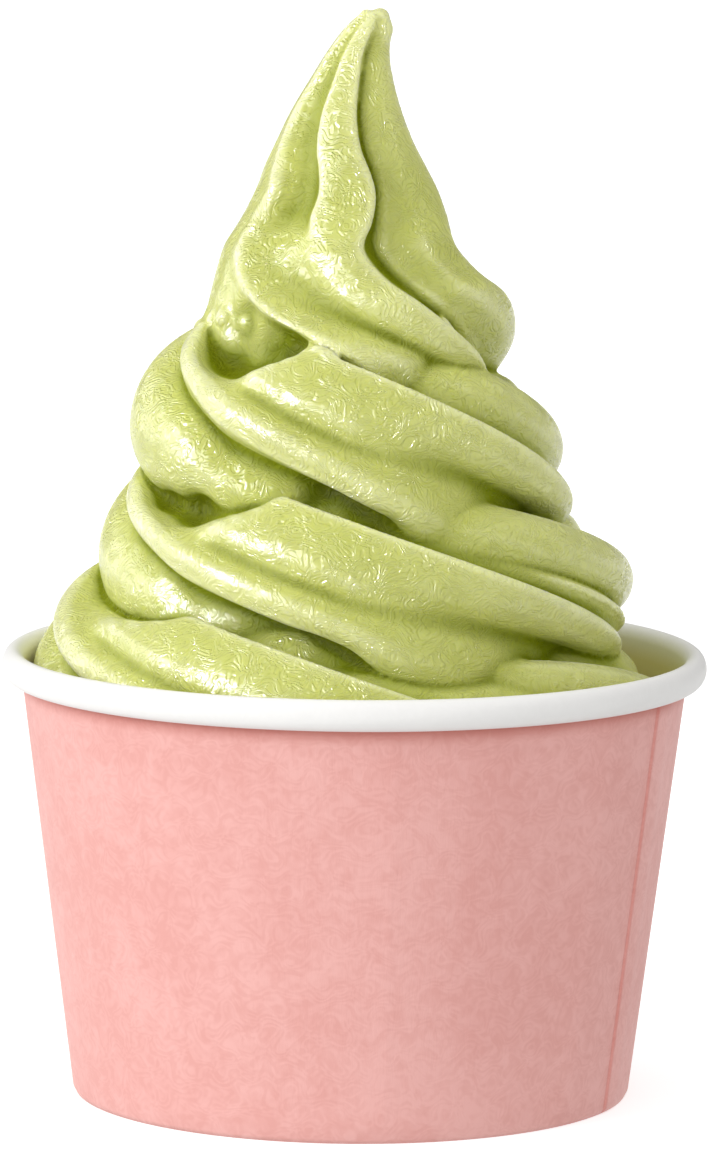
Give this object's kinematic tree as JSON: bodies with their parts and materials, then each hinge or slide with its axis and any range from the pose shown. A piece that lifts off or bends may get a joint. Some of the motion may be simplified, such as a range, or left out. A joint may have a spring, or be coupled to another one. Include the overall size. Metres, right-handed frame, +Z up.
{
  "type": "frozen yogurt cup",
  "caption": "Paper cup with a rolled rim, filled with a tall soft-serve swirl of green frozen yogurt drawn out to a peak.",
  "frame": {"origin": "middle of the cup's foot, on the surface it stands on", "axes": "+Z up through the middle of the cup to the swirl's peak, -Y towards the front that the picture shows, +X to its right"},
  "size_m": [0.0962, 0.0962, 0.1479],
  "materials": {
    "tinted_board": "smooth coated paper board, pink outside, uncoated white at the rim and inside",
    "white_board": "smooth white coated paper board",
    "yogurt": "soft pale green frozen yogurt, moist satin surface with fine wrinkles"
  },
  "bodies": {
    "root": {"cup_wall": "tinted_board", "cup_base": "white_board", "frozen_yogurt": "yogurt"}
  },
  "joints": []
}
